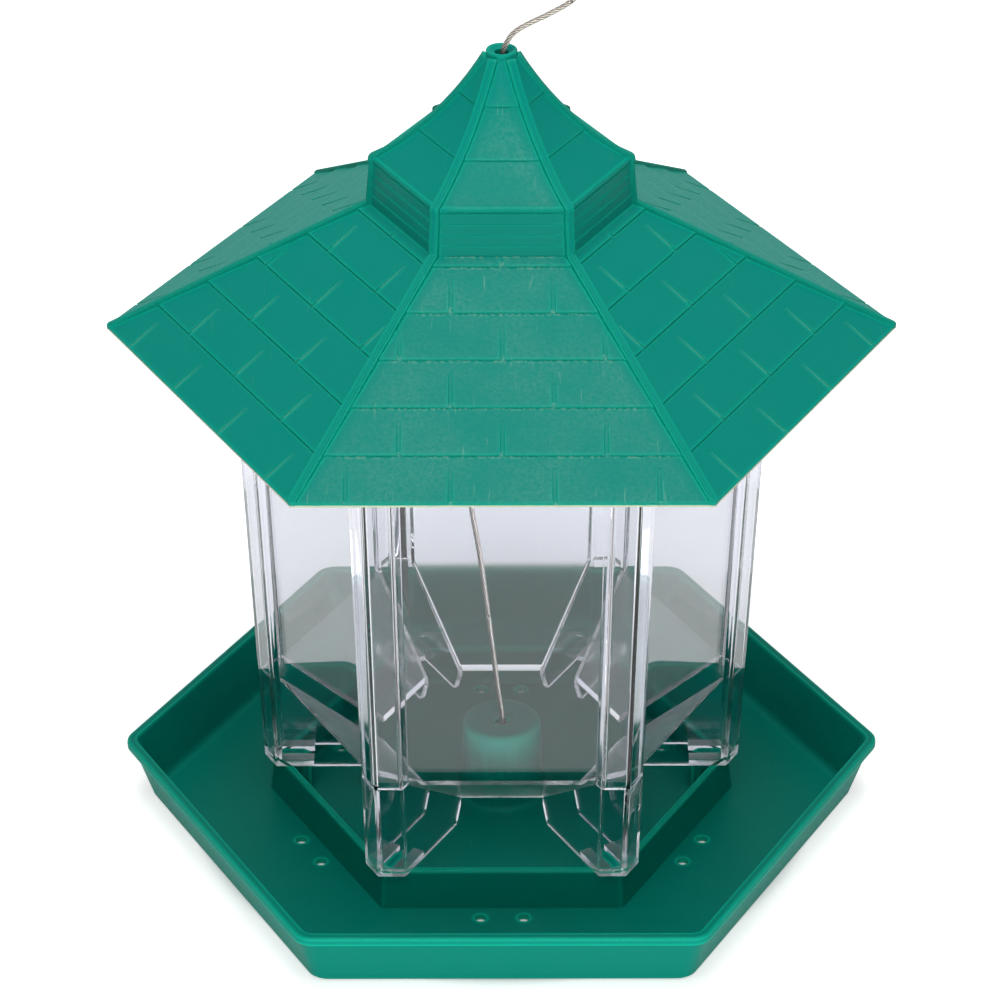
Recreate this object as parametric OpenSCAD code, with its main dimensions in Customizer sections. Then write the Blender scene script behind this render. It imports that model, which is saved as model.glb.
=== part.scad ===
// Gazebo bird feeder that hangs on a wire rope. A green roof slides up the rope
// to fill a clear seed hopper, which stands by six legs on the ring of a green tray.
// Millimetres, +Z up. The origin is the centre of the tray's base. Every outline is
// six-sided with a corner on +X, so a flat side faces the front (-Y).

/* [Tray] */
// Width of the tray's rim across opposite corners
tray_w = 230; // [190:1:260]
// Height of the tray's rim above the base
tray_h = 20; // [18:1:30]
// How far the tray's wall leans out from base to rim
tray_flare = 6; // [2:0.5:10]
// Wall and floor thickness of the tray
tray_wall = 1.8; // [1.4:0.1:2.4]
// Width of the flat top of the rim
rim_w = 3; // [2.4:0.1:5]
// Height of the rim's outer lip
rim_lip_h = 2.4; // [1.6:0.1:3.5]
// Corner radius of the tray's base
tray_corner_r = 6; // [3:0.5:12]
// Edge radius round the tray's base
base_edge_r = 2; // [0.8:0.1:3]
// Height of the ring wall that carries the hopper
ring_h = 14.4; // [11:0.2:17]
// Thickness of the ring wall at its top
ring_t = 2; // [1.6:0.1:3]
// Drain hole diameter
drain_d = 3.4; // [2:0.1:5]
// Distance between the two drain holes of a pair
drain_pitch = 12.6; // [8:0.2:20]

/* [Boss] */
// Diameter of the centre boss at its top
boss_d = 23.8; // [18:0.2:28]
// Height of the boss above the base
boss_h = 28; // [22:0.2:34]
// Radius of the boss's top edge
boss_edge_r = 2.6; // [1:0.1:4]
// Hole for the wire rope through the boss
boss_hole_d = 3.8; // [3:0.1:5]
// Countersink round that hole
boss_sink_d = 8.6; // [6:0.1:12]

/* [Hopper] */
// Hopper width across opposite column edges, at the foot
hopper_w = 144.6; // [130:0.2:156]
// Height of the hopper
hopper_h = 157.6; // [140:0.2:175]
// How much wider the hopper's mouth is than its foot
hopper_flare = 1.08; // [1.02:0.01:1.1]
// Wall thickness of the hopper
hopper_wall = 1.7; // [1.4:0.1:2.2]
// Width of a corner column
column_w = 13.8; // [11:0.2:17]
// How far a column stands out from the walls
column_proud = 2.6; // [1.5:0.1:4]
// Extra thickness of a leg's outer wall
leg_extra = 0.7; // [0.3:0.1:1]
// Height of the feeding niche where the wall ends, above the hopper's foot
niche_h = 31.6; // [24:0.2:38]
// Height of the niche at its inner end
niche_inner_h = 7.8; // [6:0.2:14]
// Distance of the niche's inner end from the centre
niche_inner_a = 34.2; // [28:0.2:40]
// How far a fin's inner edge leans back at its foot
fin_lean = 3.2; // [1:0.2:5]
// Radius of the hopper's upright edges
hopper_edge_r = 0.8; // [0.4:0.1:1.2]
// Thickness of a leg's foot plate
foot_t = 1.7; // [1.2:0.1:2.4]
// Distance of the foot plate's inner edge from the centre
foot_inner_r = 57; // [52:0.2:60]

/* [Roof] */
// Roof width at the eave across opposite corners
roof_w = 225; // [200:1:260]
// How far the eave hangs below the hopper's mouth
eave_drop = 9.8; // [6:0.2:12]
// Rise of the lower roof from the eave to the boarded band
lower_rise = 40.5; // [34:0.1:48]
// Width of the boarded band across opposite corners, at its foot
band_w = 74.8; // [62:0.2:86]
// Height of the boarded band
band_h = 14.3; // [9:0.2:20]
// Radius of the rounded edge over the band
nose_r = 1.1; // [0.7:0.1:1.4]
// Rise of the curved upper roof
upper_rise = 31.6; // [26:0.2:40]
// Width of the crown where the hip ribs end
crown_w = 9.6; // [9:0.1:12]
// Wall thickness of the roof
roof_wall = 2; // [1.6:0.1:2.6]
// Thickness of the roof's edge at the eave
eave_t = 0.7; // [0.6:0.1:1.4]
// Number of shingle courses on the lower roof
courses = 5; // [3:1:7]
// Height by which a shingle's lower edge stands proud
tile_step = 0.6; // [0.4:0.1:1]
// Width of one shingle
tile_w = 27.8; // [20:0.2:36]
// Width of the joint between two shingles
tile_gap = 1.2; // [0.8:0.1:2]
// Width of a hip rib
rib_w = 2.7; // [2:0.1:4]
// Height of a hip rib above the shingles' bed
rib_h = 1.1; // [0.8:0.1:1.6]
// Number of boards on the band
boards = 5; // [3:1:7]
// Outer diameter of the eyelet collar
collar_d = 8.8; // [8:0.1:12]
// Bore of the collar, in which the rope runs
collar_bore = 4; // [3:0.1:5]
// Clearance between the roof's locating rib and the hopper's mouth
seat_clearance = 0.5; // [0.3:0.1:1]
// Depth of the locating rib inside the hopper's mouth
locate_depth = 5; // [2:0.5:9]

/* [Wire rope] */
// Diameter of the wire rope
wire_d = 1.6; // [1:0.1:2]
// Diameter of the stop washer
washer_d = 9; // [7:0.2:12]
// Thickness of the stop washer
washer_t = 0.8; // [0.5:0.1:1.2]
// Diameter of the end ferrule
stop_d = 4.6; // [4:0.1:6]
// Length of the end ferrule
stop_l = 6; // [4:0.5:8]
// Width of the loop ferrule across its two ropes
loop_ferrule_w = 4.8; // [4.4:0.1:7]
// Thickness of the loop ferrule
loop_ferrule_t = 3; // [2.4:0.1:5]
// Length of the loop ferrule
loop_ferrule_l = 8; // [5:0.5:12]

/* [Hidden] */
ROOF_GREEN = [0.10, 0.58, 0.49];
TRAY_GREEN = [0.06, 0.47, 0.39];
CLEAR = [0.84, 0.88, 0.92, 0.45];
STEEL = [0.62, 0.61, 0.60];
SIDES = 6;
C30 = cos(30);
ROUND = 64;
EPS = 0.02;

// Heights of the stack above the base
hopper_top = ring_h + hopper_h;
eave_z = hopper_top - eave_drop;
band_z = eave_z + lower_rise;
cap_z = band_z + band_h;
crown_z = cap_z + upper_rise;
collar_top = crown_z + 1.4;

// Rounded six-sided ring: apothem a, height z, corner radius r
CORNER_STEPS = 5;
function hex_ring(a, z, r) = [
    for (i = [0:SIDES - 1], k = [0:CORNER_STEPS])
        let (turn = 60 * i, arc = turn - 30 + 60 * k / CORNER_STEPS, c = (a - r) / C30)
            [c * cos(turn) + r * cos(arc), c * sin(turn) + r * sin(arc), z]
];

// Solid of revolution's six-sided cousin: a closed section of [apothem, z, corner radius]
// points, which run anticlockwise in the apothem and height plane, carried round the axis
module hex_loft(section) {
    n = SIDES * (CORNER_STEPS + 1);
    m = len(section);
    points = [for (s = section) each hex_ring(s[0], s[1], s[2])];
    faces = [for (j = [0:m - 1], i = [0:n - 1])
        let (j2 = (j + 1) % m, i2 = (i + 1) % n)
            [j * n + i, j2 * n + i, j2 * n + i2, j * n + i2]];
    polyhedron(points, faces, convexity = 6);
}

// Six-sided plate between two apothems
module hex_plate(a, h) {
    cylinder(r = a / C30, h = h, $fn = SIDES);
}

module around() {
    for (i = [0:SIDES - 1])
        rotate(60 * i)
            children();
}

// Tray
tray_rim_a = tray_w / 2 * C30;
tray_base_a = tray_rim_a - tray_flare;
tray_rim_r = tray_corner_r * tray_rim_a / tray_base_a;
lip_a = tray_rim_a - 0.9;
ring_foot_lean = 1.4;
ring_top_a = (hopper_w / 2 - 2) * C30 - 0.9;
drain_a = ring_top_a + ring_foot_lean + 4.6;
inner_drain_a = ring_top_a - ring_t - 4;
function lean_a(z) = tray_base_a + (lip_a - tray_base_a) * z / tray_h;

module tray_shell() {
    er = base_edge_r;
    inner_foot_a = lean_a(tray_wall) - tray_wall - 1.6;
    edge = [for (k = [0:3]) let (w = 30 * k)
        [tray_base_a - er + er * sin(w), er - er * cos(w), tray_corner_r]];
    lip = [for (k = [0:3]) let (w = 30 * k)
        [tray_rim_a - 0.8 + 0.8 * cos(w), tray_h - 0.8 + 0.8 * sin(w), tray_rim_r]];
    hex_loft(concat(
        [[tray_base_a / 2, 0, 1]],
        edge,
        [[lean_a(tray_h - rim_lip_h - 0.7), tray_h - rim_lip_h - 0.7, tray_rim_r],
         [tray_rim_a, tray_h - rim_lip_h, tray_rim_r]],
        lip,
        [[tray_rim_a - rim_w + 0.3, tray_h, tray_rim_r - 2],
         [tray_rim_a - rim_w, tray_h - 0.4, tray_rim_r - 2],
         [inner_foot_a + 1.8, tray_wall + 2, tray_corner_r - 1.4],
         [inner_foot_a + 0.6, tray_wall + 0.5, tray_corner_r - 1.4],
         [inner_foot_a - 0.6, tray_wall, tray_corner_r - 1.4],
         [tray_base_a / 2, tray_wall, 1]]));
    hex_plate(tray_base_a / 2 + EPS, tray_wall);
}

module ring_wall() {
    foot_a = ring_top_a + ring_foot_lean;
    hex_loft([
        [foot_a - ring_t - 2.2, 0.5, 0.6],
        [foot_a, 0.5, 1.4],
        [foot_a, tray_wall, 1.4],
        [ring_top_a + 0.1, ring_h - 0.4, 1.2],
        [ring_top_a - 0.3, ring_h, 1.2],
        [ring_top_a - ring_t + 0.3, ring_h, 0.6],
        [ring_top_a - ring_t, ring_h - 0.4, 0.6],
        [foot_a - ring_t - 1.2, tray_wall + 1.2, 0.6],
        [foot_a - ring_t - 2.2, tray_wall, 0.6]]);
}

// Triangular peg in a corner of the ring: it stands up into the notch of a foot plate
peg_up = 1.2;
peg_half = 1.5;
peg_out = (ring_top_a - ring_t) / C30 + 0.4;
peg_in = foot_inner_r + 1.1;

module locating_peg() {
    translate([0, 0, tray_wall / 2])
        linear_extrude(ring_h + peg_up - tray_wall / 2)
            polygon([[peg_in, 0], [peg_in + peg_half * 1.4, -peg_half], [peg_out, -peg_half],
                     [peg_out, peg_half], [peg_in + peg_half * 1.4, peg_half]]);
}

module boss() {
    r1 = boss_d / 2;
    r0 = r1 + 0.8;
    er = boss_edge_r;
    f = 2.4;
    rotate_extrude($fn = ROUND)
        polygon(concat(
            [[0, 0.4], [r0 + f, 0.4], [r0 + f, tray_wall]],
            [for (k = [1:3]) let (w = 30 * k)
                [r0 + f - f * sin(w), tray_wall + f - f * cos(w)]],
            [for (k = [0:3]) let (w = 30 * k)
                [r1 - er + er * cos(w), boss_h - er + er * sin(w)]],
            [[0, boss_h]]));
}

boss_top_t = 2.4;
sink_h = 1.3;
boss_cavity_d = boss_d - 2 * tray_wall;
boss_ceiling = boss_h - boss_top_t;

module boss_bores() {
    translate([0, 0, -1])
        cylinder(d = boss_cavity_d, h = boss_ceiling + 1, $fn = ROUND);
    cylinder(d = boss_hole_d, h = boss_h + 1, $fn = ROUND);
    translate([0, 0, boss_h - sink_h])
        cylinder(d1 = boss_hole_d + 0.6, d2 = boss_sink_d, h = sink_h + EPS, $fn = ROUND);
}

module drains() {
    around()
        for (a = [drain_a, inner_drain_a], side = [-1, 1])
            rotate(30)
                translate([a, side * drain_pitch / 2, -1])
                    cylinder(d = drain_d, h = tray_wall + 2, $fn = 32);
}

module tray() {
    color(TRAY_GREEN)
        difference() {
            union() {
                tray_shell();
                ring_wall();
                boss();
                around()
                    locating_peg();
            }
            drains();
            boss_bores();
        }
}

// Hopper. Its plan at the foot: walls at one apothem and, at each corner, a column
// with faces parallel to the walls. Everything leans outwards by one scale with height.
column_a = hopper_w / 2 * C30;
wall_a = column_a - column_proud;
half_col = column_w / 2;
function grow(h) = 1 + (hopper_flare - 1) * h / hopper_h;
niche_grow = grow(niche_h);

// Corner of the outline in its own frame, radius and sideways, for apothem a
function on_face(a, s) = (a - abs(s) / 2) / C30;
function spin(p, w) = [p[0] * cos(w) - p[1] * sin(w), p[0] * sin(w) + p[1] * cos(w)];

function hopper_outline(inset) = [
    for (i = [0:SIDES - 1])
        let (c = column_a - inset, w = wall_a - inset, s = half_col - inset)
            for (p = [[on_face(w, s), -s], [on_face(c, s), -s], [c / C30, 0],
                      [on_face(c, s), s], [on_face(w, s), s]])
                spin(p, 60 * i)
];

// Rounds an outline's outward corners, and its inward ones by half as much
module rounded(r) {
    offset(r = -r / 2, $fn = 24)
        offset(r = r * 1.5, $fn = 24)
            offset(delta = -r)
                children();
}

module hopper_walls() {
    translate([0, 0, ring_h + niche_h])
        linear_extrude(hopper_h - niche_h, scale = hopper_flare / niche_grow)
            scale(niche_grow)
                difference() {
                    rounded(hopper_edge_r)
                        polygon(hopper_outline(0));
                    rounded(hopper_edge_r)
                        polygon(hopper_outline(hopper_wall));
                }
}

// A leg's outline: the column's face and two radial fins that reach inwards
fin_inner_r = on_face(niche_inner_a, half_col);

module leg_outline() {
    s = half_col;
    si = half_col - hopper_wall;
    ci = column_a - hopper_wall - leg_extra;
    polygon([[fin_inner_r, -s], [on_face(column_a, s), -s], [column_a / C30, 0], [on_face(column_a, s), s],
             [fin_inner_r, s], [fin_inner_r, si], [on_face(ci, si), si], [ci / C30, 0],
             [on_face(ci, si), -si], [fin_inner_r, -si]]);
}

module foot_plate_outline() {
    s = half_col - hopper_wall / 2;
    c = column_a - hopper_wall / 2;
    notch = peg_half + 0.35;
    difference() {
        polygon([[foot_inner_r, -s], [on_face(c, s), -s], [c / C30, 0], [on_face(c, s), s],
                 [foot_inner_r, s]]);
        polygon([[foot_inner_r - 1, -notch - 1], [foot_inner_r, -notch], [peg_out + 0.4, -notch],
                 [peg_out + 0.4, notch], [foot_inner_r, notch], [foot_inner_r - 1, notch + 1]]);
    }
}

// Slope of a niche's ceiling, from the wall's lower edge down to its inner end
slope_run = wall_a * niche_grow - niche_inner_a;
slope_fall = niche_h - niche_inner_h;
slope_w = atan2(slope_fall, slope_run);

// The space over the fins' sloped edges, in a leg's own frame
module over_the_fins() {
    top_r = on_face(wall_a * niche_grow - hopper_wall * 0.6, half_col);
    rotate([90, 0, 0])
        translate([0, 0, -half_col - 2])
            linear_extrude(column_w + 4)
                polygon([[fin_inner_r - 4, niche_inner_h - 4 * tan(slope_w) * C30],
                         [top_r, niche_h],
                         [top_r, niche_h + 5],
                         [fin_inner_r - 4, niche_h + 5]]);
}

// The wedge that leans the fins' inner edges back towards the foot
module under_the_fins() {
    rotate([90, 0, 0])
        translate([0, 0, -half_col - 2])
            linear_extrude(column_w + 4)
                polygon([[fin_inner_r - 2, -1], [fin_inner_r + fin_lean, -1], [fin_inner_r + fin_lean, 0],
                         [fin_inner_r, niche_inner_h], [fin_inner_r - 2, niche_inner_h]]);
}

module leg() {
    translate([0, 0, ring_h]) {
        difference() {
            linear_extrude(niche_h, scale = niche_grow)
                rounded(hopper_edge_r)
                    leg_outline();
            over_the_fins();
            under_the_fins();
        }
        linear_extrude(foot_t)
            foot_plate_outline();
    }
}

// Half the width of a niche at apothem a, up to the middle of its fins
function niche_half(a) = a * tan(30) - (half_col - hopper_wall / 2) / C30;

// Ceiling of a niche: a sloped plate whose sides run along the fins of two legs
module niche_ceiling() {
    outer_a = wall_a * niche_grow;
    drop = hopper_wall / cos(slope_w);
    translate([0, 0, ring_h])
        intersection() {
            linear_extrude(niche_h + 4)
                polygon([[niche_inner_a, -niche_half(niche_inner_a)], [outer_a, -niche_half(outer_a)],
                         [outer_a, niche_half(outer_a)], [niche_inner_a, niche_half(niche_inner_a)]]);
            rotate([90, 0, 0])
                translate([0, 0, -outer_a])
                    linear_extrude(2 * outer_a)
                        polygon([[niche_inner_a, niche_inner_h], [outer_a, niche_h],
                                 [outer_a, niche_h + drop], [niche_inner_a, niche_inner_h + drop]]);
        }
}

module hopper() {
    color(CLEAR)
        union() {
            hopper_walls();
            around() {
                leg();
                rotate(30)
                    niche_ceiling();
            }
        }
}

// Roof. Profiles are in the plane of a corner: radius and height.
eave_r = roof_w / 2;
band_r = band_w / 2;
band_top_r = band_r - 1;
crown_r = crown_w / 2;

// Lower roof's bed line: t runs from 0 at the eave to 1 at the band
function bed(t) = [eave_r + (band_r - eave_r) * t, eave_z + eave_t + (lower_rise - eave_t) * t];
bed_len = norm(bed(1) - bed(0));
bed_dir = (bed(1) - bed(0)) / bed_len;
bed_out = [bed_dir[1], -bed_dir[0]];
// The course under the band is a narrow one
last_course = 0.045;
function course_t(i) = (1 - last_course) * i / courses;

// Upper roof: a curve from the rounded edge over the band to the crown, steep at the crown
nose_proud = 0.35;
bend_share = [0.355, 0.362];
curve = [[band_top_r - nose_r + nose_proud, cap_z],
         [crown_r + (band_r - crown_r) * bend_share[0], cap_z + upper_rise * bend_share[1]],
         [crown_r, crown_z]];
function bend(t) = (1 - t) * (1 - t) * curve[0] + 2 * t * (1 - t) * curve[1] + t * t * curve[2];
function bend_dir(t) = let (d = 2 * (1 - t) * (curve[1] - curve[0]) + 2 * t * (curve[2] - curve[1])) d / norm(d);
function bend_out(t) = [bend_dir(t)[1], -bend_dir(t)[0]];
CURVE_STEPS = 12;
// Shares of the curve where its shingle courses start
cap_courses = [0, 0.34, 0.705];
cap_step = 0.4;

// Boards of the band step back one after the other; the last one is half hidden by the nose
board_pitch = band_h / (boards - 0.5);
board_step = (band_r - band_top_r) / (boards - 1);
nose_low = cap_z - nose_r * 1.3;
nose_mid = [curve[0][0], cap_z - nose_r * 0.55];

roof_skin = concat(
    [for (i = [0:courses]) each
        let (a = course_t(i), b = i == courses ? 1 : course_t(i + 1))
            [bed(a) + tile_step * bed_out, bed(b)]],
    [for (i = [0:boards - 1]) each
        let (r = band_r - board_step * i, low = band_z + board_pitch * i)
            [[r, low + EPS], [r, min(low + board_pitch, nose_low)]]],
    [for (w = [-50:30:70]) nose_mid + nose_r * [cos(w), sin(w)]],
    [for (k = [0:2]) each
        let (t0 = cap_courses[k], t1 = k == 2 ? 1 : cap_courses[k + 1])
            [for (j = [0:4]) let (t = t0 + (t1 - t0) * j / 4)
                bend(t) + (k == 0 && j == 0 ? 0.3 : cap_step * (1 - j / 4)) * bend_out(t)]]
);

roof_drop = roof_wall / cos(atan2(lower_rise, (eave_r - band_r) * C30));
wall_in = roof_wall / C30;
function under(t) = [eave_r + (band_r - eave_r) * t, eave_z + lower_rise * t - roof_drop];
roof_lining = concat(
    [for (t = [1, 0.75, 0.5, 0.25, 0]) bend(t) - [wall_in * 0.95, 0] - [0, t > 0.9 ? 3 : 0.4]],
    [[band_top_r - wall_in, cap_z - roof_wall],
     [band_r - wall_in, band_z - roof_wall * 0.6],
     under(1) - [wall_in * 0.4, 0],
     under(roof_drop / lower_rise + 0.02),
     [eave_r - 3, eave_z]]
);

// The six-sided skin is a revolve of the profile with one flat facet to each side
module roof_shell() {
    rotate_extrude($fn = SIDES)
        polygon(concat(roof_skin, [[max(0.6, curve[2][0] - 1.2), crown_z - 0.2]], roof_lining,
                       [[eave_r, eave_z]]));
}

// Joints between shingles: slots whose floor follows the bed, so that they fade out upwards
joint_share = 0.74;
joint_floor = 0.15;
joint_margin = 1.6;

module shingle_joints() {
    face_a = eave_r * C30;
    face_run = (eave_r - band_r) * C30;
    face_w = atan2(lower_rise - eave_t, face_run);
    pitch = face_run / cos(face_w) * (1 - last_course) / courses;
    for (i = [0:courses - 1]) {
        half = (face_a - face_run * course_t(i)) * tan(30) - rib_w * joint_margin;
        shift = (i + courses) % 2 == 0 ? 0 : 0.5;
        last = floor(half / tile_w - shift);
        for (k = [-last - (shift > 0 ? 1 : 0):last])
            joint_slot((i + joint_share) * pitch, pitch * (joint_share + 0.04), (k + shift) * tile_w);
    }
    // The narrow course has one joint, in the middle of the side
    joint_slot(courses * pitch + last_course * pitch * courses, last_course * pitch * courses * 1.1, 0);
}

// A slot in the shingles: how far up the slope it ends, its length and its place along the side
module joint_slot(up_to, length, along) {
    face_run = (eave_r - band_r) * C30;
    translate([eave_r * C30, 0, eave_z + eave_t])
        rotate([0, atan2(lower_rise - eave_t, face_run), 0])
            translate([-up_to, along - tile_gap / 2, tile_step * joint_floor])
                cube([length, tile_gap, tile_step * 2]);
}

// A hip rib follows the bed, the band, the nose and the curve; two strips give it a rounded top
module hip_rib(width, height) {
    over = concat(
        [bed(0) - 2 * bed_dir + height * bed_out, bed(1) + height * bed_out + [height * 0.1, 0]],
        [[band_r + height * 0.6, band_z + 1.6], [band_top_r + height * 0.6, nose_low - 0.4]],
        [for (w = [-30:30:60]) nose_mid + (nose_r + height * 0.55) * [cos(w), sin(w)]],
        [for (j = [1:CURVE_STEPS]) let (t = j / CURVE_STEPS)
            bend(t) + height * bend_out(t) * (0.85 - 0.3 * t)]);
    below = concat(
        [for (j = [CURVE_STEPS:-1:1]) let (t = j / CURVE_STEPS)
            bend(t) - 0.9 * bend_out(t)],
        [[band_top_r - 0.8, cap_z - 0.8], [band_r - 0.8, band_z],
         bed(1) - [0.8, 0.6], bed(0) - 2 * bed_dir - [0, eave_t * 0.6]]);
    rotate([90, 0, 0])
        translate([0, 0, -width / 2])
            linear_extrude(width)
                polygon(concat(over, below));
}

// Height of the lower roof over apothem a
function roof_height(a) = eave_z + lower_rise * (eave_r - a / C30) / (eave_r - band_r);

// Seat: a six-sided rib under the roof that rests on the hopper's mouth and reaches into it
module seat_rib() {
    mouth_a = wall_a * hopper_flare;
    fit_a = (wall_a - hopper_wall) * hopper_flare - seat_clearance;
    inner_a = fit_a - roof_wall;
    seat_z = hopper_top;
    difference() {
        union() {
            translate([0, 0, seat_z])
                hex_plate(mouth_a + 0.4, roof_height(mouth_a + 0.4) - roof_drop / 2 - seat_z);
            translate([0, 0, seat_z - locate_depth])
                hex_plate(fit_a, locate_depth + EPS);
        }
        translate([0, 0, seat_z - locate_depth - 1])
            hex_plate(inner_a, 60);
    }
}

module collar() {
    rim = 0.5;
    dish_d = collar_d - 1.6;
    r = collar_d / 2;
    difference() {
        rotate_extrude($fn = ROUND)
            polygon([[0, crown_z - 4.4], [r - 1.6, crown_z - 4.4], [r, crown_z - 1.6], [r, collar_top - rim],
                     [r - rim * 0.3, collar_top - rim * 0.3], [r - rim, collar_top], [0, collar_top]]);
        translate([0, 0, collar_top - 0.9])
            cylinder(d1 = collar_bore + 0.4, d2 = dish_d, h = 0.9 + EPS, $fn = ROUND);
    }
}

module roof() {
    color(ROOF_GREEN)
        difference() {
            union() {
                difference() {
                    roof_shell();
                    around()
                        rotate(30)
                            shingle_joints();
                }
                // The eave's own outline ends the ribs, so that each corner comes to a clean point
                intersection() {
                    around() {
                        hip_rib(rib_w, rib_h * 0.75);
                        hip_rib(rib_w * 0.55, rib_h);
                    }
                    translate([0, 0, eave_z])
                        hex_plate((eave_r + tile_step * bed_out[0]) * C30, crown_z - eave_z + 2);
                }
                collar();
                seat_rib();
            }
            translate([0, 0, crown_z - 12])
                cylinder(d = collar_bore, h = 20, $fn = ROUND);
        }
}

// Wire rope. Its route is chosen by hand and drawn as a smooth curve through the points.
washer_z = boss_ceiling - washer_t;
inside_route = [[0, 0, washer_z], [0, 0, washer_z + 4.6], [-1.4, 0, 41], [-4, 0, 65], [-6.4, 0, 86],
                [-9, 0, 104], [-12, 0, 131], [-13, 0, 160], [-10, 0, 190], [-5, 0, 216], [-1, 0, 235],
                [0, 0, 243], [0, 0, 246]];
above_route = [[0, 0, 246], [0, 0, 247.2], [0.35, 0, 249.2], [1.2, 0, 251.4], [2.6, 0, 253.9],
               [4.8, 0, 255.9], [8.4, 0, 258], [13, 0, 260.4], [19, 0, 264.2], [23.6, 0, 270],
               [25, 0, 276], [25, 0, 281]];
ferrule_x = 25;
ferrule_z = 281;
loop_route = [[25.9, 0, 289], [25.9, 0, 290.5], [28.2, 0, 295.5], [32.6, 0, 302.5], [35, 0, 311],
              [31.6, 0, 319], [25, 0, 322], [18.4, 0, 319], [15, 0, 311], [17.4, 0, 302.5],
              [21.8, 0, 295.5], [24.1, 0, 290.5], [24.1, 0, 289]];

// Catmull-Rom curve through points p, with n steps to each stretch
function spline(p, n) = let (last = len(p) - 1) concat(
    [for (i = [0:last - 1], j = [0:n - 1])
        let (a = p[max(i - 1, 0)], b = p[i], c = p[i + 1], d = p[min(i + 2, last)], t = j / n)
            0.5 * (2 * b + (c - a) * t + (2 * a - 5 * b + 4 * c - d) * t * t
                + (3 * b - a - 3 * c + d) * t * t * t)],
    [p[last]]);

function unit(v) = v / norm(v);
// Every route lies in the front plane and starts and ends upright, so that its end faces
// lie flat on what they meet, and one sideways direction serves for all rings
ROPE_SIDES = 8;
function rope_ring(p, i) =
    let (last = len(p) - 1, dir = unit(p[min(i + 1, last)] - p[max(i - 1, 0)]),
         upright = [0, 0, sign(dir[2])],
         side = unit(cross([0, 1, 0], i == 0 || i == last ? upright : dir)), up = [0, 1, 0])
        [for (k = [0:ROPE_SIDES - 1]) let (w = 360 * k / ROPE_SIDES + 22.5)
            p[i] + wire_d / 2 * (cos(w) * side + sin(w) * up)];

module rope(route, n) {
    path = spline(route, n);
    rings = len(path);
    points = [for (i = [0:rings - 1]) each rope_ring(path, i)];
    walls = [for (i = [0:rings - 2], k = [0:ROPE_SIDES - 1])
        let (k2 = (k + 1) % ROPE_SIDES, a = i * ROPE_SIDES, b = a + ROPE_SIDES)
            [a + k, a + k2, b + k2, b + k]];
    ends = [[for (k = [ROPE_SIDES - 1:-1:0]) k],
            [for (k = [0:ROPE_SIDES - 1]) (rings - 1) * ROPE_SIDES + k]];
    polyhedron(points, concat(walls, ends), convexity = 6);
}

module wire_inside() {
    color(STEEL)
        rope(inside_route, 3);
}

module wire_above() {
    color(STEEL)
        rope(above_route, 2);
}

module wire_loop() {
    color(STEEL)
        rope(loop_route, 2);
}

module loop_ferrule() {
    r = loop_ferrule_t / 2;
    c = loop_ferrule_w / 2 - r;
    color(STEEL)
        translate([ferrule_x, 0, ferrule_z])
            union() {
                for (side = [-1, 1])
                    translate([side * c, 0, 0])
                        cylinder(r = r, h = loop_ferrule_l, $fn = 32);
                translate([-c, -r, 0])
                    cube([2 * c, 2 * r, loop_ferrule_l]);
            }
}

module end_ferrule() {
    color(STEEL)
        translate([0, 0, washer_z - stop_l])
            cylinder(d = stop_d, h = stop_l, $fn = 32);
}

module stop_washer() {
    color(STEEL)
        translate([0, 0, washer_z])
            difference() {
                cylinder(d = washer_d, h = washer_t, $fn = ROUND);
                translate([0, 0, -1])
                    cylinder(d = wire_d + 0.6, h = washer_t + 2, $fn = ROUND);
            }
}

roof();
hopper();
tray();
wire_inside();
wire_above();
wire_loop();
loop_ferrule();
end_ferrule();
stop_washer();
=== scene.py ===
"""Looks of a hanging gazebo bird feeder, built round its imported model.

A green shingled roof, a clear seed hopper on six hollow legs and a green rimmed tray,
held together by one twisted wire rope. Metres, +Z up, the front faces -Y.
"""

import math

import bmesh
import bpy
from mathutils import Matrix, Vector


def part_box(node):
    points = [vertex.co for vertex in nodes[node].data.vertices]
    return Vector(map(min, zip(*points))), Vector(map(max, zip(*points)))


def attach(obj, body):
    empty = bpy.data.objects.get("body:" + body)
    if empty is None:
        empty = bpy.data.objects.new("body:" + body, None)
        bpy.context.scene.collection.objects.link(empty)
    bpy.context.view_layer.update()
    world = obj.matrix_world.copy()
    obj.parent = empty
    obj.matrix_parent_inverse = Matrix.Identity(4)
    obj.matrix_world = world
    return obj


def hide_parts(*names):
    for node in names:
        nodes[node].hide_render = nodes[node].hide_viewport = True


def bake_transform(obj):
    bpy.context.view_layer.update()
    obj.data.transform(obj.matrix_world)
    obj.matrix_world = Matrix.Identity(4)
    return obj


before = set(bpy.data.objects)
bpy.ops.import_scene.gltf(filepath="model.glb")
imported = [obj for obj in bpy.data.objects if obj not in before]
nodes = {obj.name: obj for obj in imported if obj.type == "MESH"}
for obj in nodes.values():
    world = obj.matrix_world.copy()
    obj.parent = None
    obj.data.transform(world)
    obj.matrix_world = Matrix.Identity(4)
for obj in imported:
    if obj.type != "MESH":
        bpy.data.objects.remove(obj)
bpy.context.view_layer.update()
MM = 0.001


# Camera: fitted to the corners of the roof and the tray
camera_data = bpy.data.cameras.new("camera")
camera_data.lens = 142.01
camera_data.sensor_width = 36
camera = bpy.data.objects.new("camera", camera_data)
camera.location = (-0.00288, -0.9886, 0.7095)
camera.rotation_euler = (math.radians(58.543), 0, math.radians(-0.149))
bpy.context.scene.collection.objects.link(camera)
bpy.context.scene.camera = camera


def linear(code):
    """An sRGB hex colour as the linear values that shaders take."""
    parts = [int(code[i : i + 2], 16) / 255 for i in (1, 3, 5)]
    parts = [c / 12.92 if c <= 0.04045 else ((c + 0.055) / 1.055) ** 2.4 for c in parts]
    return (*parts, 1)


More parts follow.
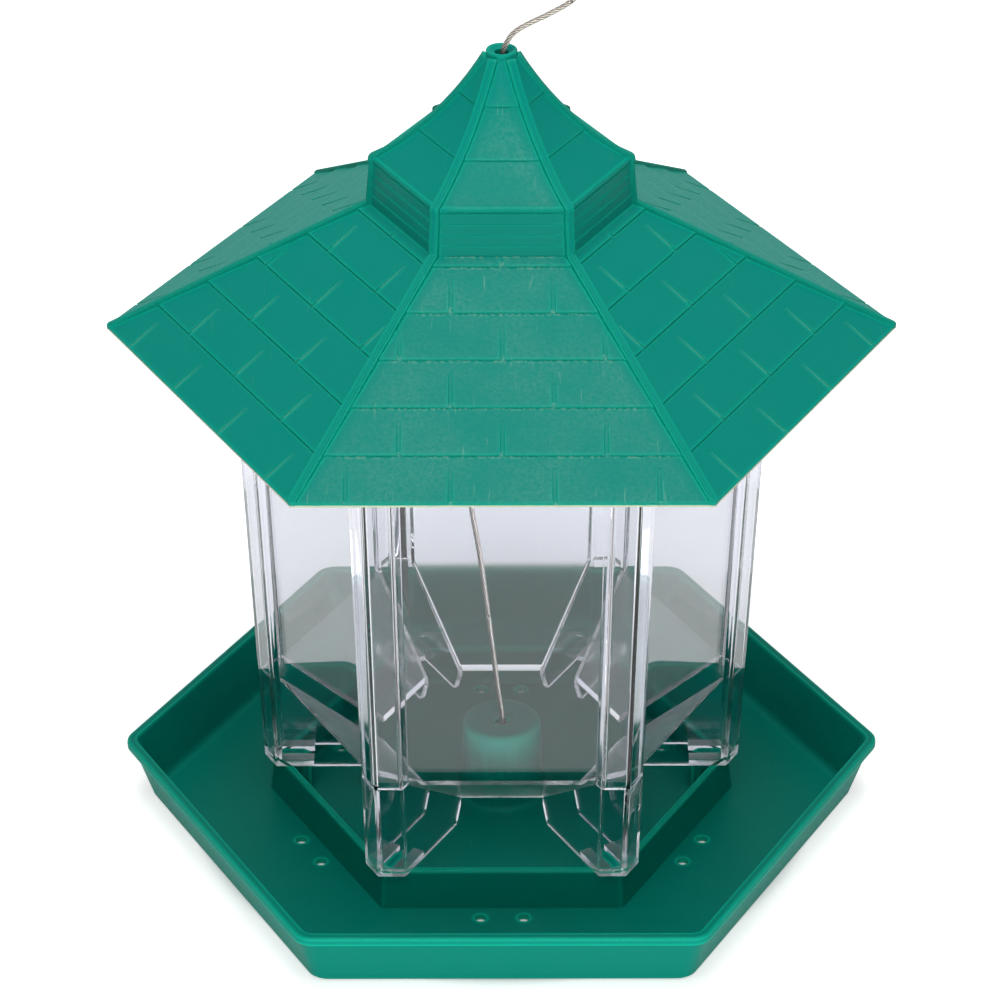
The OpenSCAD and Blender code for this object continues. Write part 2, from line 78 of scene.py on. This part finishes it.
def add(tree, kind, settings=None, inputs=None):
    """Adds one node with its properties, and its inputs as values or as links."""
    node = tree.nodes.new("ShaderNode" + kind)
    for name, value in (settings or {}).items():
        setattr(node, name, value)
    for key, value in (inputs or {}).items():
        if isinstance(value, bpy.types.Node):
            value = value.outputs[0]
        if isinstance(value, bpy.types.NodeSocket):
            tree.links.new(value, node.inputs[key])
        else:
            node.inputs[key].default_value = value
    return node


def blank_material(name):
    """An empty material's node tree and the material itself."""
    material = bpy.data.materials.new(name)
    material.use_nodes = True
    material.node_tree.nodes.clear()
    return material, material.node_tree


def dress(piece, material):
    """Gives a piece or a CAD node one finish all over."""
    piece.data.materials.clear()
    piece.data.materials.append(material)


# Wire rope: its diameter, its strands and the length in which they turn once. The routes
# repeat the points that the model's rope follows, across and upwards. All in millimetres.
WIRE_D = 1.6
STRANDS = 6
LAY = 9.6
STRAND_SIDES = 6
PLACES_PER_TURN = 14
PLACES_PER_SPAN = 12
INSIDE = [
    (0, 24.8), (0, 29.4), (-1.4, 41), (-4, 65), (-6.4, 86), (-9, 104), (-12, 131),
    (-13, 160), (-10, 190), (-5, 216), (-1, 235), (0, 243), (0, 246),
]
ABOVE = [
    (0, 246), (0, 247.2), (0.35, 249.2), (1.2, 251.4), (2.6, 253.9), (4.8, 255.9),
    (8.4, 258), (13, 260.4), (19, 264.2), (23.6, 270), (25, 276), (25, 281),
]
EYE = [
    (25.9, 289), (25.9, 290.5), (28.2, 295.5), (32.6, 302.5), (35, 311), (31.6, 319),
    (25, 322), (18.4, 319), (15, 311), (17.4, 302.5), (21.8, 295.5), (24.1, 290.5), (24.1, 289),
]


def route(points):
    """Catmull-Rom line through points of the front plane, as places in metres."""
    p = [Vector((x, 0, z)) * MM for x, z in points]
    last = len(p) - 1
    line = []
    for i in range(last):
        a, b, c, d = p[max(i - 1, 0)], p[i], p[i + 1], p[min(i + 2, last)]
        for j in range(PLACES_PER_SPAN):
            t = j / PLACES_PER_SPAN
            line.append(
                0.5 * (2 * b + (c - a) * t + (2 * a - 5 * b + 4 * c - d) * t * t
                       + (3 * b - a - 3 * c + d) * t**3)
            )
    return line + [p[last]]


def evenly(line, gap):
    """The same line with places a fixed gap apart, and its length."""
    along = [0]
    for a, b in zip(line, line[1:]):
        along.append(along[-1] + (b - a).length)
    count = max(2, round(along[-1] / gap))
    places = []
    k = 0
    for i in range(count + 1):
        s = along[-1] * i / count
        while k < len(line) - 2 and along[k + 1] < s:
            k += 1
        t = (s - along[k]) / (along[k + 1] - along[k])
        places.append(line[k].lerp(line[k + 1], t))
    return places, along[-1]


def lay_rope(name, line):
    """One stretch of rope: six strands twisted round a core. Returns it with its places and length."""
    places, length = evenly(line, LAY * MM / PLACES_PER_TURN)
    last = len(places) - 1
    across = Vector((0, 1, 0))
    strand_r = WIRE_D * MM / 6
    from_core = WIRE_D * MM / 2 - strand_r
    bm = bmesh.new()
    for strand in range(STRANDS + 1):
        core = strand == STRANDS
        # The core fills the gap between the strands, which just miss each other
        r = strand_r * (1.2 if core else 0.98)
        rings = []
        for i, place in enumerate(places):
            ahead = places[min(i + 1, last)] - places[max(i - 1, 0)]
            ahead.normalize()
            side = across.cross(ahead).normalized()
            turn = 2 * math.pi * (length * i / last / (LAY * MM) + strand / STRANDS)
            outwards = side * math.cos(turn) + across * math.sin(turn)
            middle = place if core else place + outwards * from_core
            ring = []
            for k in range(STRAND_SIDES):
                w = 2 * math.pi * k / STRAND_SIDES
                ring.append(bm.verts.new(middle + (side * math.cos(w) + across * math.sin(w)) * r))
            rings.append(ring)
        for low, high in zip(rings, rings[1:]):
            for k in range(STRAND_SIDES):
                after = (k + 1) % STRAND_SIDES
                bm.faces.new((low[k], low[after], high[after], high[k]))
        bm.faces.new(reversed(rings[0]))
        bm.faces.new(rings[-1])
    bmesh.ops.recalc_face_normals(bm, faces=bm.faces)
    mesh = bpy.data.meshes.new(name)
    bm.to_mesh(mesh)
    bm.free()
    for face in mesh.polygons:
        face.use_smooth = True
    piece = bpy.data.objects.new(name, mesh)
    bpy.context.scene.collection.objects.link(piece)
    return piece, places, length


inside = route(INSIDE)
above = route(ABOVE)
eye = route(EYE)
# The foot stays by the boss, the seed stretch follows the hopper and the roof, and the
# neck leaves the collar. The last stretch runs into the ferrule, round the eye and back.
foot_end = 3 * PLACES_PER_SPAN
neck_end = 8 * PLACES_PER_SPAN
in_ferrule = Vector((25.9, 0, 287)) * MM
foot, foot_places, foot_length = lay_rope("rope_foot", inside[: foot_end + 1])
seed, seed_places, seed_length = lay_rope("rope_seed_stretch", inside[foot_end:])
neck = lay_rope("rope_neck", above[: neck_end + 1])[0]
free, free_places, free_length = lay_rope("rope_eye", above[neck_end:] + [in_ferrule] + eye)
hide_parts("wire_inside")
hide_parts("wire_inside")
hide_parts("wire_above")
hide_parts("wire_above", "wire_loop")
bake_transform(foot)
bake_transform(seed)
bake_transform(neck)
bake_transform(free)
rope_pieces = [foot, seed, neck, free]


def swell(centre, wide, deep):
    """Resizes what is selected, across and front to back, about a place."""
    bpy.ops.transform.resize(value=(wide, deep, 1), center_override=centre)


def end_face(up):
    """Selects the face at the upper or the lower end of the mesh that is being shaped."""
    bpy.ops.mesh.select_all(action="DESELECT")
    bm = bmesh.from_edit_mesh(bpy.context.object.data)
    face = (max if up else min)(bm.faces, key=lambda f: f.calc_center_median().z)
    face.select = True
    bmesh.update_edit_mesh(bpy.context.object.data)


# Climb as a share of the height, then the width and depth as multiples of the step before
SLEEVE_STEPS = [
    (0.04, 1.087, 1.087), (0.08, 1, 1), (0.04, 0.92, 0.75), (0.12, 1, 1), (0.04, 1.087, 1.333),
    (0.08, 1, 1), (0.04, 0.92, 0.75), (0.10, 1, 1), (0.04, 1.087, 1.333), (0.08, 1, 1),
    (0.04, 0.92, 0.75), (0.08, 1, 1), (0.04, 1.087, 1.333), (0.06, 1, 1), (0.06, 0.92, 0.92),
]
FIRST_STEP = 0.06
# The mouth's radius, the tube's wall and the rounding of worn edges as shares of the width,
# and the depth of the mouth as a share of the height
MOUTH = 0.46
WALL = 0.09
EDGE_WEAR = 0.025
MOUTH_DEPTH = 0.05


def crimped_sleeve(name, node):
    """A tube squeezed on the rope: a rolled mouth at each end and three crimped bands."""
    low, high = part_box(node)
    x = (low[0] + high[0]) / 2
    rise = high[2] - low[2]
    width = high[0] - low[0]
    bpy.ops.object.select_all(action="DESELECT")
    bpy.ops.mesh.primitive_cylinder_add(
        vertices=32, radius=MOUTH * width, depth=FIRST_STEP * rise,
        location=(x, 0, low[2] + FIRST_STEP / 2 * rise),
    )
    piece = bpy.context.object
    piece.name = name
    bpy.ops.object.transform_apply(location=True, rotation=False, scale=False)
    bpy.ops.object.mode_set(mode="EDIT")
    end_face(up=True)
    z = low[2] + FIRST_STEP * rise
    for climb, wide, deep in SLEEVE_STEPS:
        z += climb * rise
        bpy.ops.mesh.extrude_region_move(TRANSFORM_OT_translate={"value": (0, 0, climb * rise)})
        swell((x, 0, z), wide, deep)
    for up in (False, True):
        end_face(up)
        bpy.ops.mesh.inset(thickness=WALL * width)
        inwards = -MOUTH_DEPTH * rise if up else MOUTH_DEPTH * rise
        bpy.ops.mesh.extrude_region_move(TRANSFORM_OT_translate={"value": (0, 0, inwards)})
    bpy.ops.mesh.select_all(action="SELECT")
    swell((x, 0, z), 1, (high[1] - low[1]) / width)
    bpy.ops.object.mode_set(mode="OBJECT")
    bevel = piece.modifiers.new("worn edges", "BEVEL")
    bevel.width = EDGE_WEAR * width
    bevel.segments = 2
    bevel.limit_method = "ANGLE"
    bpy.ops.object.modifier_apply(modifier=bevel.name)
    bpy.ops.object.shade_smooth_by_angle(angle=math.radians(40))
    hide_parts(node)
    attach(piece, "tray")
    return piece


loop_sleeve = crimped_sleeve("crimped_loop_ferrule", "loop_ferrule")
end_sleeve = crimped_sleeve("crimped_end_ferrule", "end_ferrule")


# Points nearer than SAME_PLACE, in metres, are one, and faces that turn less than FLAT are
# one wall
SAME_PLACE = 2e-6
FLAT = math.radians(0.4)


def moulding(node, name, widest_strip, turn):
    """A copy of one of the model's mouldings, with joined points and flat walls as single faces.

    Only the narrow strips of a curve shade round, where they turn less than so many degrees,
    so that a clear wall stays a true pane.
    """
    piece = bpy.data.objects.new(name, nodes[node].data.copy())
    bpy.context.scene.collection.objects.link(piece)
    bm = bmesh.new()
    bm.from_mesh(piece.data)
    bmesh.ops.remove_doubles(bm, verts=bm.verts, dist=SAME_PLACE)
    bmesh.ops.dissolve_limit(bm, angle_limit=FLAT, verts=bm.verts, edges=bm.edges)
    bm.faces.ensure_lookup_table()
    bm.normal_update()
    width = [face.calc_area() / max(edge.calc_length() for edge in face.edges) for face in bm.faces]
    same_curve = math.cos(math.radians(turn))
    shades = []
    for face in bm.faces:
        face.smooth = True
        for corner in face.loops:
            normal = face.normal
            if width[face.index] < widest_strip:
                near = [f for f in corner.vert.link_faces if f.normal.dot(face.normal) > same_curve]
                walls = [f for f in near if width[f.index] >= widest_strip]
                if walls:
                    normal = max(walls, key=lambda f: f.normal.dot(face.normal)).normal
                else:
                    normal = sum((f.normal for f in near), Vector()).normalized()
            shades.append(tuple(normal))
    bm.to_mesh(piece.data)
    bm.free()
    piece.data.normals_split_custom_set(shades)
    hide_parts(node)
    return piece


roof = moulding("roof", "shingled_roof", widest_strip=1.2 * MM, turn=28)
hopper = moulding("hopper", "clear_hopper", widest_strip=2.2 * MM, turn=32)
tray = moulding("tray", "rimmed_tray", widest_strip=2 * MM, turn=30)


# Rise of one course of shingles, height of the boarded band's foot over the parting edge,
# and how far forwards a hip rib at the front runs for each unit across
ROW_RISE = 7.7355 * MM
BAND_FOOT = 39.8 * MM
HIP_SLOPE = 1.73
# Wear at a course's edge starts this far below it and is this high. Chalky joints keep
# this far from a hip rib.
WEAR_BELOW_ROW = 1.2 * MM
WEAR_HEIGHT = 1.8 * MM
RIB_MARGIN = 5 * MM
# Reach of a nook's shade, thickness that counts as a thin edge, and radius of a moulded edge
NOOK_REACH = 0.9 * MM
THIN_WALL = 1.4 * MM
EDGE_RADIUS = 0.35 * MM


def green_plastic(name, body, pale, painted_highlight_green, roughness, wear_and_painted_light_share, edge_wear_and_highlight_share, painted_ridge_highlight, painted_brightening, flash):
    """Moulded polypropylene, dyed green, with a satin skin.

    The side that faces the front has pale scuffs from handling, with fine scratches down its
    slope. Edges are pale, partly from wear and partly as a painted edge highlight. Ridges and
    lips get a painted highlight, and joints and nooks a painted brightening in place of their
    dark. The parting edge, below the height flash, keeps a broken pale line. The scale of a
    noise is written as its grains in a millimetre over MM.
    """
    material, tree = blank_material(name)
    spots = add(tree, "TexCoord")
    place = spots.outputs["Object"]
    axes = add(tree, "SeparateXYZ", None, {0: place})
    height = axes.outputs["Z"]
    # One on the front sector between its ribs, falling to a tenth over the other sides
    across = add(tree, "Math", {"operation": "ABSOLUTE"}, {0: axes.outputs["X"]})
    sector = add(tree, "Math", {"operation": "MULTIPLY_ADD"}, {0: across, 1: HIP_SLOPE, 2: axes.outputs["Y"]})
    front = add(tree, "MapRange", None,
                {"Value": sector, "From Min": -9 * MM, "From Max": -4 * MM, "To Min": 1.0, "To Max": 0.1})
    # Upright walls are hardly touched
    upward = add(tree, "SeparateXYZ", None, {0: spots.outputs["Normal"]})
    slope = add(tree, "MapRange", None,
                {"Value": upward.outputs["Z"], "From Min": 0.1, "From Max": 0.4, "To Min": 0.1})
    exposed = add(tree, "Math", {"operation": "MULTIPLY"}, {0: front, 1: slope})
    # Mottled scuffs: grains of half a millimetre to two, in patches of twenty
    mottle = add(tree, "TexNoise", None, {"Vector": place, "Scale": 1 / MM, "Detail": 4, "Roughness": 0.6})
    patches = add(tree, "TexNoise", None, {"Vector": place, "Scale": 0.055 / MM, "Detail": 3})
    dust = add(tree, "MapRange", None, {"Value": mottle, "From Min": 0.3, "From Max": 0.78})
    spread = add(tree, "MapRange", None,
                 {"Value": patches, "From Min": 0.35, "From Max": 0.65, "To Min": 0.35, "To Max": 1.0})
    scuffs = add(tree, "Math", {"operation": "MULTIPLY"}, {0: dust, 1: spread})
    # Scratches, a third of a millimetre wide and about ten long, down the slope
    drift = add(tree, "TexNoise", None, {"Vector": place, "Scale": 0.06 / MM})
    bent = add(tree, "VectorMath", {"operation": "MULTIPLY_ADD"},
               {0: drift.outputs["Color"], 1: (4 * MM, 0, 0), 2: place})
    run = add(tree, "Mapping", None, {"Vector": bent, "Scale": (1.0, 0.06, 0.06)})
    lines = add(tree, "TexNoise", None, {"Vector": run, "Scale": 1.5 / MM, "Detail": 1})
    scratches = add(tree, "MapRange", None,
                    {"Value": lines, "From Min": 0.7, "From Max": 0.84, "To Max": 2.0})
    # Dotted wear on the tiles just under each course's edge and at the foot of the band
    nook = add(tree, "AmbientOcclusion", {"samples": 6}, {"Distance": NOOK_REACH})
    under = add(tree, "MapRange", None, {"Value": nook.outputs["AO"], "From Min": 0.95, "From Max": 0.75})
    row = add(tree, "Math", {"operation": "ADD"}, {0: height, 1: WEAR_BELOW_ROW - flash})
    row = add(tree, "Math", {"operation": "FLOORED_MODULO"}, {0: row, 1: ROW_RISE})
    near_row = add(tree, "Math", {"operation": "LESS_THAN"}, {0: row, 1: WEAR_HEIGHT})
    below_band = add(tree, "Math", {"operation": "LESS_THAN"}, {0: height, 1: flash + BAND_FOOT})
    near_row = add(tree, "Math", {"operation": "MULTIPLY"}, {0: near_row, 1: below_band})
    band_foot = add(tree, "Math", {"operation": "COMPARE"}, {0: height, 1: flash + BAND_FOOT, 2: MM})
    near_row = add(tree, "Math", {"operation": "MAXIMUM"}, {0: near_row, 1: band_foot})
    dots = add(tree, "MapRange", None, {"Value": mottle, "From Min": 0.46, "From Max": 0.58, "To Max": 3.0})
    dotted = add(tree, "Math", {"operation": "MULTIPLY"}, {0: under, 1: dots})
    dotted = add(tree, "Math", {"operation": "MULTIPLY"}, {0: dotted, 1: near_row})
    # Hands don't reach into the joints, where the skin stays clean
    open_skin = add(tree, "Math", {"operation": "SUBTRACT"}, {0: 1, 1: under})
    worn = add(tree, "Math", {"operation": "ADD"}, {0: scratches, 1: scuffs})
    worn = add(tree, "Math", {"operation": "MULTIPLY_ADD"}, {0: worn, 1: open_skin, 2: dotted})
    worn = add(tree, "Math", {"operation": "MULTIPLY"}, {0: worn, 1: exposed})
    # On the other sides the upright joints, away from the ribs, get a pale painted brightening in place of
    # their dark
    depth = add(tree, "Math", {"operation": "ABSOLUTE"}, {0: axes.outputs["Y"]})
    from_rib = add(tree, "Math", {"operation": "MULTIPLY"}, {0: across, 1: HIP_SLOPE})
    from_rib = add(tree, "Math", {"operation": "SUBTRACT"}, {0: from_rib, 1: depth})
    from_rib = add(tree, "Math", {"operation": "ABSOLUTE"}, {0: from_rib})
    from_rib = add(tree, "Math", {"operation": "MINIMUM"}, {0: from_rib, 1: depth})
    clear_of_rib = add(tree, "Math", {"operation": "GREATER_THAN"}, {0: from_rib, 1: RIB_MARGIN})
    joint = add(tree, "Math", {"operation": "MULTIPLY"}, {0: under, 1: clear_of_rib})
    joint = add(tree, "Math", {"operation": "MULTIPLY"}, {0: joint, 1: below_band})
    joint = add(tree, "Math", {"operation": "SUBTRACT", "use_clamp": True}, {0: joint, 1: near_row})
    painted_joint_light = add(tree, "Math", {"operation": "SUBTRACT", "use_clamp": True}, {0: joint, 1: front})
    painted_joint_light = add(tree, "Math", {"operation": "MULTIPLY"}, {0: painted_joint_light, 1: 4 * painted_brightening})
    # Painted light: the joints' pale brightening joins the wear here
    worn = add(tree, "Math", {"operation": "ADD"}, {0: worn, 1: painted_joint_light})
    # Pale edges where the solid behind the surface is thin: partly wear, partly a painted edge highlight
    thin = add(tree, "AmbientOcclusion", {"samples": 8, "inside": True}, {"Distance": THIN_WALL})
    edge_wear_and_highlight = add(tree, "MapRange", None, {"Value": thin.outputs["AO"], "From Min": 0.5, "From Max": 0.3})
    broken = add(tree, "MapRange", None,
                 {"Value": mottle, "From Min": 0.35, "From Max": 0.55, "To Min": 0.8, "To Max": 2.0})
    edges = add(tree, "Math", {"operation": "MULTIPLY"}, {0: edge_wear_and_highlight, 1: broken})
    edges = add(tree, "Math", {"operation": "MULTIPLY"}, {0: edges, 1: edge_wear_and_highlight_share})
    share = add(tree, "Math", {"operation": "MULTIPLY_ADD", "use_clamp": True},
                {0: worn, 1: wear_and_painted_light_share, 2: edges})
    colour = add(tree, "Mix", {"data_type": "RGBA"}, {0: share, 6: linear(body), 7: linear(pale)})
    # Painted light: ridges and lips get a painted highlight, and the nooks a painted brightening in place of
    # their dark
    ridge_highlight = add(tree, "MapRange", None,
                {"Value": thin.outputs["AO"], "From Min": 0.97, "From Max": 0.72, "To Max": painted_ridge_highlight})
    nook_brightening = add(tree, "MapRange", None,
                   {"Value": front, "From Min": 0.1, "To Min": painted_brightening, "To Max": 0.3 * painted_brightening})
    painted_nook_light = add(tree, "Math", {"operation": "MULTIPLY"}, {0: under, 1: nook_brightening})
    painted_light_share = add(tree, "Math", {"operation": "MAXIMUM"}, {0: ridge_highlight, 1: painted_nook_light})
    colour = add(tree, "Mix", {"data_type": "RGBA"}, {0: painted_light_share, 6: colour.outputs[2], 7: linear(painted_highlight_green)})
    # The parting edge's broken pale line
    low = add(tree, "MapRange", None,
              {"Value": height, "From Min": flash, "From Max": flash - 0.25 * MM})
    line = add(tree, "Math", {"operation": "MULTIPLY", "use_clamp": True}, {0: low, 1: broken})
    colour = add(tree, "Mix", {"data_type": "RGBA"}, {0: line, 6: colour.outputs[2], 7: linear("#c3cdb0")})
    # Softened edges and a fine mould grain
    edge = add(tree, "Bevel", {"samples": 4}, {"Radius": EDGE_RADIUS})
    grain = add(tree, "TexNoise", None, {"Vector": place, "Scale": 1.5 / MM, "Detail": 2})
    bump = add(tree, "Bump", None, {"Strength": 0.2, "Distance": 0.05 * MM, "Height": grain, "Normal": edge})
    sheen = add(tree, "MapRange", None,
                {"Value": mottle, "From Min": 0.3, "From Max": 0.7,
                 "To Min": roughness - 0.05, "To Max": roughness + 0.1})
    shader = add(tree, "BsdfPrincipled", None,
                 {"Base Color": colour.outputs[2], "Roughness": sheen, "IOR": 1.49, "Normal": bump})
    shader.inputs["Specular IOR Level"].default_value = 0.06
    add(tree, "OutputMaterial", None, {"Surface": shader})
    return material


eave_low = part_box("roof")[0][2]
roof_green = green_plastic(
    "moulded green polypropylene, roof", body="#00897b", pale="#9cc4b2", painted_highlight_green="#0cc0a0", roughness=0.48,
    wear_and_painted_light_share=0.18, edge_wear_and_highlight_share=0.15, painted_ridge_highlight=0.3, painted_brightening=0.5, flash=eave_low + 0.7 * MM,
)
tray_green = green_plastic(
    "moulded green polypropylene, tray", body="#008171", pale="#7fb7a6", painted_highlight_green="#0cc0a0", roughness=0.4,
    wear_and_painted_light_share=0.06, edge_wear_and_highlight_share=0.25, painted_ridge_highlight=0.75, painted_brightening=0, flash=0,
)


def polystyrene(name, tint, roughness):
    """Clear polystyrene, injection moulded and polished: it mirrors its surroundings at each wall.

    Light on its way to what stands behind passes straight through, and is hardly dimmed.
    """
    material, tree = blank_material(name)
    body = add(tree, "BsdfPrincipled", None,
               {"Base Color": linear(tint), "Roughness": roughness, "IOR": 1.57, "Transmission Weight": 1.0})
    lets_light = add(tree, "BsdfTransparent", None, {"Color": linear("#f8fafa")})
    shadow = add(tree, "LightPath").outputs["Is Shadow Ray"]
    mixed = add(tree, "MixShader", None, {0: shadow, 1: body, 2: lets_light})
    add(tree, "OutputMaterial", None, {"Surface": mixed})
    return material


# The feet's soles keep the mould's spark-eroded grain, which frosts them. The ceilings over
# the niches are less polished than the walls.
clear = polystyrene("clear polystyrene", "#f3f4fa", 0.012)
frosted = polystyrene("frosted polystyrene", "#dfe3e4", 0.38)
satin = polystyrene("satin polystyrene, niche ceilings", "#f6f7f8", 0.14)

# Stainless steel wire, drawn and twisted: bright, with a faint warm cast
steel, tree = blank_material("drawn stainless wire")
place = add(tree, "TexCoord").outputs["Object"]
drawn = add(tree, "TexNoise", None, {"Vector": place, "Scale": 0.9 / MM, "Detail": 3})
bright = add(tree, "Mix", {"data_type": "RGBA"}, {0: drawn, 6: linear("#958d86"), 7: linear("#cbc3bc")})
# Painted shadow: where the strands close in, the colour turns near black
valley = add(tree, "AmbientOcclusion", {"samples": 8}, {"Distance": 0.45 * MM})
open_air = add(tree, "MapRange", None, {"Value": valley.outputs["AO"], "From Min": 0.45, "From Max": 0.85})
tone_with_painted_shadow = add(tree, "Mix", {"data_type": "RGBA"}, {0: open_air, 6: linear("#2e2a27"), 7: bright.outputs[2]})
sheen = add(tree, "MapRange", None, {"Value": drawn, "To Min": 0.22, "To Max": 0.42})
shader = add(tree, "BsdfPrincipled", None,
             {"Base Color": tone_with_painted_shadow.outputs[2], "Metallic": 1.0, "Roughness": sheen})
add(tree, "OutputMaterial", None, {"Surface": shader})

# The feet's soles are level, low and far from the middle. The niches' ceilings are the
# large slopes over them.
SOLE_TOP = 16.4 * MM
SOLE_REACH = 55 * MM
CEILING_TOP = 46 * MM
CEILING_AREA = 100 * MM**2
dress(roof, roof_green)
dress(hopper, clear)
hopper.data.materials.append(frosted)
hopper.data.materials.append(satin)
for face in hopper.data.polygons:
    middle = face.center
    level = abs(face.normal.z)
    if middle.z < SOLE_TOP and level > 0.9 and math.hypot(middle.x, middle.y) > SOLE_REACH:
        face.material_index = 1
    elif middle.z < CEILING_TOP and 0.3 < level < 0.9 and face.area > CEILING_AREA:
        face.material_index = 2
dress(tray, tray_green)
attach(roof, "roof")
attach(hopper, "hopper")
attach(tray, "tray")
for piece in [*rope_pieces, loop_sleeve, end_sleeve, nodes["stop_washer"]]:
    dress(piece, steel)


# Pale floor and surroundings: white to the eye and in reflections, moderate as light
def plainly_seen(tree):
    """One for a look, a reflection or a look through glass, zero for light on the object."""
    path = add(tree, "LightPath")
    seen = path.outputs["Is Camera Ray"]
    for kind in ("Is Glossy Ray", "Is Transmission Ray"):
        seen = add(tree, "Math", {"operation": "MAXIMUM"}, {0: seen, 1: path.outputs[kind]})
    fallen = add(tree, "Math", {"operation": "MINIMUM"}, {0: path.outputs["Diffuse Depth"], 1: 1})
    return add(tree, "Math", {"operation": "SUBTRACT", "use_clamp": True}, {0: seen, 1: fallen})


bpy.ops.object.select_all(action="DESELECT")
bpy.ops.mesh.primitive_plane_add(size=8, location=(0, 0, -0.0002))
floor = bpy.context.object
floor.name = "floor"
paper, tree = blank_material("white paper")
# Near the object the lamps light the paper and it keeps a soft shadow. Far off it is white.
place = add(tree, "TexCoord").outputs["Object"]
distance = add(tree, "VectorMath", {"operation": "LENGTH"}, {0: place}).outputs["Value"]
paper_white = add(tree, "MapRange", None,
                  {"Value": distance, "From Min": 0.4, "From Max": 1.6, "To Min": 0.38, "To Max": 0.8})
to_camera = add(tree, "LightPath").outputs["Is Camera Ray"]
to_camera = add(tree, "Math", {"operation": "MULTIPLY"}, {0: to_camera, 1: 0.25})
glow = add(tree, "Math", {"operation": "MULTIPLY_ADD"}, {0: plainly_seen(tree), 1: paper_white, 2: to_camera})
# Painted shadow: under the tray the paper's glow is cut, so it shows through the drain holes as grey
painted_tray_shadow = add(tree, "MapRange", None,
            {"Value": distance, "From Min": 0.088, "From Max": 0.096, "To Min": 0.2})
glow = add(tree, "Math", {"operation": "MULTIPLY"}, {0: glow, 1: painted_tray_shadow})
matte = add(tree, "BsdfDiffuse", None, {"Color": (0.9, 0.9, 0.9, 1)})
lift = add(tree, "Emission", None, {"Strength": glow})
both = add(tree, "AddShader", None, {0: matte, 1: lift})
add(tree, "OutputMaterial", None, {"Surface": both})
dress(floor, paper)

# White to look at, and this share of it as light
AMBIENT = 0.07
world = bpy.data.worlds.new("studio")
bpy.context.scene.world = world
world.use_nodes = True
tree = world.node_tree
tree.nodes.clear()
strength = add(tree, "MapRange", None, {"Value": plainly_seen(tree), "To Min": AMBIENT, "To Max": 1.0})
sky = add(tree, "Background", None, {"Color": (1, 1, 1, 1), "Strength": strength})
add(tree, "OutputWorld", None, {"Surface": sky})


def softbox(name, place, aim, size, power):
    """A soft studio lamp that faces a point."""
    data = bpy.data.lights.new(name, "AREA")
    data.shape = "RECTANGLE"
    data.size, data.size_y = size
    data.energy = power
    lamp = bpy.data.objects.new(name, data)
    lamp.location = place
    lamp.rotation_mode = "QUATERNION"
    lamp.rotation_quaternion = (Vector(aim) - Vector(place)).to_track_quat("-Z", "Y")
    bpy.context.scene.collection.objects.link(lamp)


softbox("overhead softbox", place=(0, -0.5, 1.6), aim=(0, 0, 0.15), size=(1.3, 1.0), power=15)
softbox("top softbox", place=(0, 0.1, 1.7), aim=(0, 0, 0.15), size=(1.0, 1.0), power=9)
softbox("low front strip", place=(0, -0.42, 0.013), aim=(0, -0.1, 0.016), size=(0.8, 0.024), power=1.2)
softbox("front softbox", place=(0, -1.7, 0.9), aim=(0, 0, 0.12), size=(1.2, 0.8), power=3)

# Enough for a look through ten clear walls, each with two faces
BOUNCES = 20
scene = bpy.context.scene
scene.view_settings.view_transform = "Standard"
scene.cycles.max_bounces = BOUNCES
scene.cycles.transmission_bounces = BOUNCES
scene.cycles.glossy_bounces = BOUNCES
scene.cycles.transparent_max_bounces = BOUNCES
